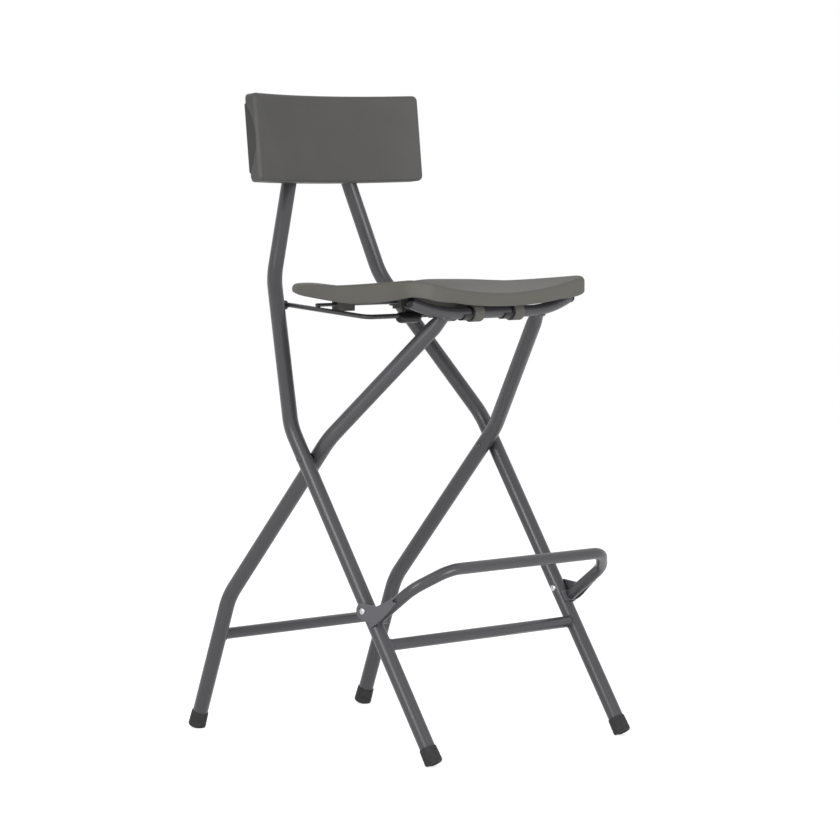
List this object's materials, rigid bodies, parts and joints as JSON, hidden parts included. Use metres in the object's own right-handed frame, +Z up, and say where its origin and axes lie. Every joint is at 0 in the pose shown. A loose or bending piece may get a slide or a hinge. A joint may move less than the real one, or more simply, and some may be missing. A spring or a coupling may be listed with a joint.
{
  "type": "folding bar stool",
  "caption": "Folding bar stool of crossed bent tubes with a dished moulded seat, a curved moulded backrest and a fold-up footrest bar.",
  "frame": {"origin": "on the floor, midway between the feet", "axes": "+Z up, -Y towards the front where the sitter's knees are, +X to the sitter's left"},
  "size_m": [0.4946, 0.6069, 1.0708],
  "materials": {
    "frame_paint": "satin powder coat",
    "shell_plastic": "fine moulded grain",
    "cover_plastic": "fine moulded grain",
    "foot_rubber": "matt",
    "black_plastic": "matt",
    "bright_steel": "zinc plated"
  },
  "bodies": {
    "root": {"back_frame_tube_right": "frame_paint", "back_frame_tube_left": "frame_paint", "front_foot_cap_right": "foot_rubber", "front_foot_cap_left": "foot_rubber", "wire_bush_right": "black_plastic", "wire_bush_left": "black_plastic", "crossing_rivet_right": "bright_steel", "crossing_rivet_left": "bright_steel", "crossing_washer_right": "black_plastic", "crossing_washer_left": "black_plastic", "footrest_rivet_right": "bright_steel", "footrest_rivet_left": "bright_steel", "front_crossbar": "frame_paint", "backrest_panel": "shell_plastic", "backrest_rear_cover": "cover_plastic", "backrest_screw_lower_right": "bright_steel", "backrest_screw_upper_right": "bright_steel", "backrest_screw_lower_left": "bright_steel", "backrest_screw_upper_left": "bright_steel"},
    "seat_frame": {"seat_frame_tube_right": "frame_paint", "seat_frame_tube_left": "frame_paint", "rear_foot_cap_right": "foot_rubber", "rear_foot_cap_left": "foot_rubber", "rear_crossbar": "frame_paint", "seat_bar": "frame_paint", "seat_bar_plug_right": "black_plastic", "seat_bar_plug_left": "black_plastic"},
    "seat": {"seat_panel": "shell_plastic", "seat_clip_right": "shell_plastic", "seat_clip_left": "shell_plastic", "clip_liner_right": "black_plastic", "clip_liner_left": "black_plastic", "seat_hook_right": "shell_plastic", "seat_hook_left": "shell_plastic", "bearing_post_right": "black_plastic", "bearing_post_left": "black_plastic", "clip_screw_right": "bright_steel", "clip_screw_left": "bright_steel", "hook_screw_right": "bright_steel", "hook_screw_left": "bright_steel"},
    "wire": {"wire_support": "frame_paint", "cross_wire": "frame_paint", "wire_bearing_right": "black_plastic", "wire_bearing_left": "black_plastic"},
    "footrest": {"footrest_bar": "frame_paint", "footrest_bracket_right": "frame_paint", "footrest_bracket_left": "frame_paint"}
  },
  "joints": [
    {"name": "frame_fold", "type": "hinge", "parent": "root", "child": "seat_frame", "pos_m": [0, -0.00139, 0.47376], "axis": [-1, 0, 0], "range_deg": [0, 56.5]},
    {"name": "seat_tilt", "type": "hinge", "parent": "seat_frame", "child": "seat", "pos_m": [0, -0.21, 0.7118], "axis": [1, 0, 0], "range_deg": [0, 141.25]},
    {"name": "wire_fold", "type": "hinge", "parent": "root", "child": "wire", "pos_m": [0, 0.14687, 0.718], "axis": [-1, 0, 0], "range_deg": [0, 86.44]},
    {"name": "footrest_fold", "type": "hinge", "parent": "root", "child": "footrest", "pos_m": [0, -0.1482, 0.2376], "axis": [-1, 0, 0], "range_deg": [0, 85]}
  ],
  "couplings": [
    {"joint": "seat_tilt", "follows": "frame_fold", "ratio": 2.5},
    {"joint": "wire_fold", "follows": "frame_fold", "ratio": 1.53}
  ]
}
